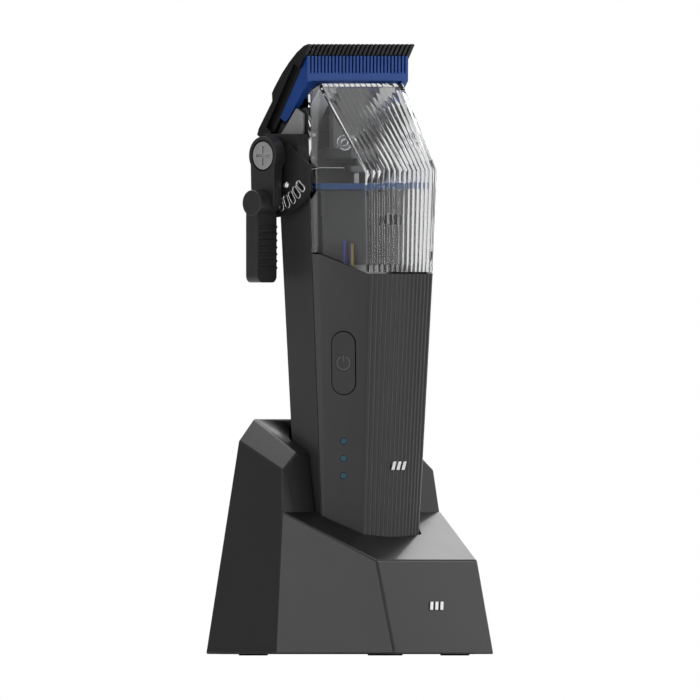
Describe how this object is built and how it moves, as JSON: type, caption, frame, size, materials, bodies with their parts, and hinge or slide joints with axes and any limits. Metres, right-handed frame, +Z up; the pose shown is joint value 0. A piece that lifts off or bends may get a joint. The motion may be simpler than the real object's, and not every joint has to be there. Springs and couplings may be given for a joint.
{
  "type": "cordless hair clipper with charging dock",
  "caption": "Cordless hair clipper with a clear head cover, side taper lever and slanted toothed blades, standing in an angular charging dock.",
  "frame": {"origin": "middle of the dock on the table", "axes": "+Z up, -Y towards the ribbed front, -X towards the taper lever"},
  "size_m": [0.078, 0.065, 0.1878],
  "materials": {
    "dock_plastic": "satin charcoal, faint mould grain",
    "black_plastic": "matt black",
    "foot_rubber": "soft matt",
    "screw_steel": "bright machined",
    "ballast_steel": "plain",
    "circuit_board": "green lacquer",
    "contact_brass": "polished",
    "body_plastic": "satin charcoal",
    "clear_plastic": "clear polished moulding",
    "chassis_plastic": "dark grey, smooth",
    "blue_anodised": "blue anodised",
    "motor_steel": "bright",
    "cell_sleeve": "shrink sleeve",
    "symbol_grey": "printed grey",
    "lens_teal": "translucent teal",
    "wire_sleeve": "blue and yellow sleeving",
    "grey_metal": "light grey satin",
    "black_steel": "black coating, ground edges",
    "blue_ceramic": "blue coated ceramic",
    "arm_plastic": "natural acetal",
    "lever_metal": "satin black coating",
    "chrome_trim": "polished",
    "badge_silver": "silver print"
  },
  "bodies": {
    "dock": {"dock_shell": "dock_plastic", "dock_base": "black_plastic", "dock_feet": "foot_rubber", "dock_screws": "screw_steel", "dock_ballast": "ballast_steel", "dock_board": "circuit_board", "dock_pins": "contact_brass", "dock_badge": "badge_silver", "charging_inlet": "black_plastic"},
    "clipper": {"front_shell": "body_plastic", "rear_shell": "body_plastic", "bottom_cap": "black_plastic", "cap_screws": "screw_steel", "charging_pads": "contact_brass", "clear_cover": "clear_plastic", "cover_boss": "clear_plastic", "front_chassis": "chassis_plastic", "motor_bracket": "blue_anodised", "motor_can": "motor_steel", "battery_cell": "cell_sleeve", "cell_terminals": "screw_steel", "main_board": "circuit_board", "board_parts": "black_plastic", "power_switch": "motor_steel", "indicator_lenses": "lens_teal", "lens_board": "circuit_board", "signal_wires": "wire_sleeve", "head_frame": "black_plastic", "side_plates": "grey_metal", "fixed_blade": "black_steel", "blade_screws": "screw_steel", "cutter_spring": "screw_steel", "lever_bush": "contact_brass", "detent_plate": "black_plastic", "detent_loops": "chrome_trim", "detent_ball": "chrome_trim", "body_badge": "badge_silver"},
    "lever": {"lever_arm": "lever_metal", "lever_screw": "screw_steel", "lever_knob": "lever_metal", "thumb_bar": "lever_metal", "lever_shaft": "screw_steel", "detent_plunger": "chrome_trim"},
    "taper": {"taper_slider": "motor_steel"},
    "cutter": {"cutter": "blue_ceramic", "drive_arm": "arm_plastic"},
    "motor": {"motor_shaft": "screw_steel", "eccentric": "contact_brass"},
    "button": {"power_button": "body_plastic", "button_symbol": "symbol_grey"}
  },
  "joints": [
    {"name": "clipper_lift", "type": "slide", "parent": "dock", "child": "clipper", "axis": [0, 0, 1], "range_m": [0, 0.07]},
    {"name": "lever_swing", "type": "hinge", "parent": "clipper", "child": "lever", "pos_m": [-0.029, 0.0146, 0.1535], "axis": [-1, 0, 0], "range_deg": [0, 45]},
    {"name": "taper_slide", "type": "slide", "parent": "clipper", "child": "taper", "axis": [0, -0.5225, 0.8526], "range_m": [0, 0.0018]},
    {"name": "cutter_stroke", "type": "slide", "parent": "taper", "child": "cutter", "axis": [1, 0, 0], "range_m": [-0.0013, 0.0013]},
    {"name": "motor_spin", "type": "hinge", "parent": "clipper", "child": "motor", "pos_m": [0, 0.0061, 0.12], "axis": [0, 0, 1], "continuous": true},
    {"name": "power_press", "type": "slide", "parent": "clipper", "child": "button", "axis": [0.841, 0.5389, 0.0475], "range_m": [0, 0.0006], "stiffness_N_per_m": 800, "springref_m": -0.0003}
  ],
  "couplings": [
    {"joint": "lever_swing", "follows": "taper_slide", "rad_per_m": 436.33}
  ]
}
